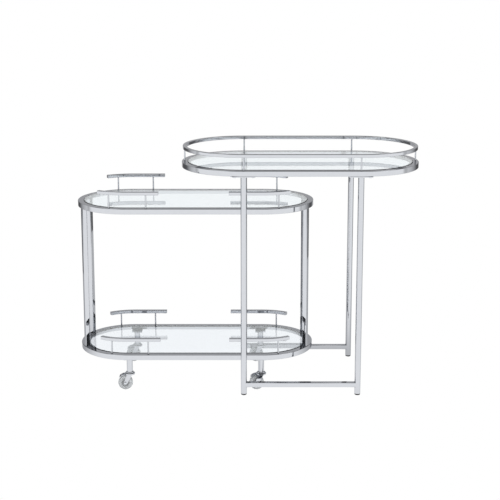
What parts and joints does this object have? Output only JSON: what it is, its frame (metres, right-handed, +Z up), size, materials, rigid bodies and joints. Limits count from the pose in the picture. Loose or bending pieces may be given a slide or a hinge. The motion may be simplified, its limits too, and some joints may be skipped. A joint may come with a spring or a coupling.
{
  "type": "nesting bar cart on wheels",
  "caption": "Nesting bar cart: a tall oval glass table with a gallery rail, and a lower two-shelf glass cart on swivel casters that rolls in between the table's legs.",
  "frame": {"origin": "on the floor, midway between the tall table and the low cart as they stand pulled apart", "axes": "+X from the low cart to the tall table, +Y from front to back, +Z up"},
  "size_m": [1.154, 0.412, 0.816],
  "materials": {
    "chrome": "polished chrome plate",
    "zinc_steel": "zinc-plated, satin",
    "clear_glass": "clear tempered, polished edge",
    "clear_pad": "clear soft vinyl",
    "grey_hub": "moulded nylon",
    "clear_tread": "clear polyurethane",
    "black_glide": "moulded, satin"
  },
  "bodies": {
    "tall_table": {"tall_ring": "chrome", "tall_lip": "chrome", "tall_glass": "clear_glass", "tall_glass_pads": "clear_pad", "gallery_rail": "chrome", "gallery_posts": "chrome", "leg_front_left": "chrome", "leg_front_right": "chrome", "leg_back_left": "chrome", "leg_back_right": "chrome", "leg_plates": "chrome", "plate_screws": "zinc_steel", "front_stretcher": "chrome", "back_stretcher": "chrome", "foot_glides": "black_glide"},
    "low_cart": {"low_top_ring": "chrome", "low_top_lip": "chrome", "low_top_glass": "clear_glass", "shelf_ring": "chrome", "shelf_lip": "chrome", "shelf_glass": "clear_glass", "low_glass_pads": "clear_pad", "end_post_front_left": "chrome", "end_post_front_right": "chrome", "end_post_back_left": "chrome", "end_post_back_right": "chrome", "end_post_inserts": "zinc_steel", "end_post_bolts": "zinc_steel", "top_rail_front_left": "chrome", "top_rail_front_right": "chrome", "top_rail_back_left": "chrome", "top_rail_back_right": "chrome", "shelf_rail_front_left": "chrome", "shelf_rail_front_right": "chrome", "shelf_rail_back_left": "chrome", "shelf_rail_back_right": "chrome", "top_rail_posts": "chrome", "shelf_rail_posts": "chrome", "caster_mounts": "chrome", "caster_stems": "chrome", "swivel_collars": "chrome", "kingpins": "zinc_steel"},
    "caster_front_left": {"fork_front_left": "chrome", "axle_front_left": "zinc_steel"},
    "wheel_front_left": {"hub_front_left": "grey_hub", "tyre_front_left": "clear_tread"},
    "caster_front_right": {"fork_front_right": "chrome", "axle_front_right": "zinc_steel"},
    "wheel_front_right": {"hub_front_right": "grey_hub", "tyre_front_right": "clear_tread"},
    "caster_back_left": {"fork_back_left": "chrome", "axle_back_left": "zinc_steel"},
    "wheel_back_left": {"hub_back_left": "grey_hub", "tyre_back_left": "clear_tread"},
    "caster_back_right": {"fork_back_right": "chrome", "axle_back_right": "zinc_steel"},
    "wheel_back_right": {"hub_back_right": "grey_hub", "tyre_back_right": "clear_tread"}
  },
  "joints": [
    {"name": "nesting_roll", "type": "slide", "parent": "tall_table", "child": "low_cart", "axis": [1, 0, 0], "range_m": [-0.26, 0.354]},
    {"name": "swivel_front_left", "type": "hinge", "parent": "low_cart", "child": "caster_front_left", "pos_m": [-0.399, -0.1435, 0], "axis": [0, 0, 1], "continuous": true},
    {"name": "spin_front_left", "type": "hinge", "parent": "caster_front_left", "child": "wheel_front_left", "pos_m": [-0.414, -0.1435, 0.025], "axis": [0, 1, 0], "continuous": true},
    {"name": "swivel_front_right", "type": "hinge", "parent": "low_cart", "child": "caster_front_right", "pos_m": [0.045, -0.1435, 0], "axis": [0, 0, 1], "continuous": true},
    {"name": "spin_front_right", "type": "hinge", "parent": "caster_front_right", "child": "wheel_front_right", "pos_m": [0.03, -0.1435, 0.025], "axis": [0, 1, 0], "continuous": true},
    {"name": "swivel_back_left", "type": "hinge", "parent": "low_cart", "child": "caster_back_left", "pos_m": [-0.399, 0.1435, 0], "axis": [0, 0, 1], "continuous": true},
    {"name": "spin_back_left", "type": "hinge", "parent": "caster_back_left", "child": "wheel_back_left", "pos_m": [-0.414, 0.1435, 0.025], "axis": [0, 1, 0], "continuous": true},
    {"name": "swivel_back_right", "type": "hinge", "parent": "low_cart", "child": "caster_back_right", "pos_m": [0.045, 0.1435, 0], "axis": [0, 0, 1], "continuous": true},
    {"name": "spin_back_right", "type": "hinge", "parent": "caster_back_right", "child": "wheel_back_right", "pos_m": [0.03, 0.1435, 0.025], "axis": [0, 1, 0], "continuous": true}
  ]
}
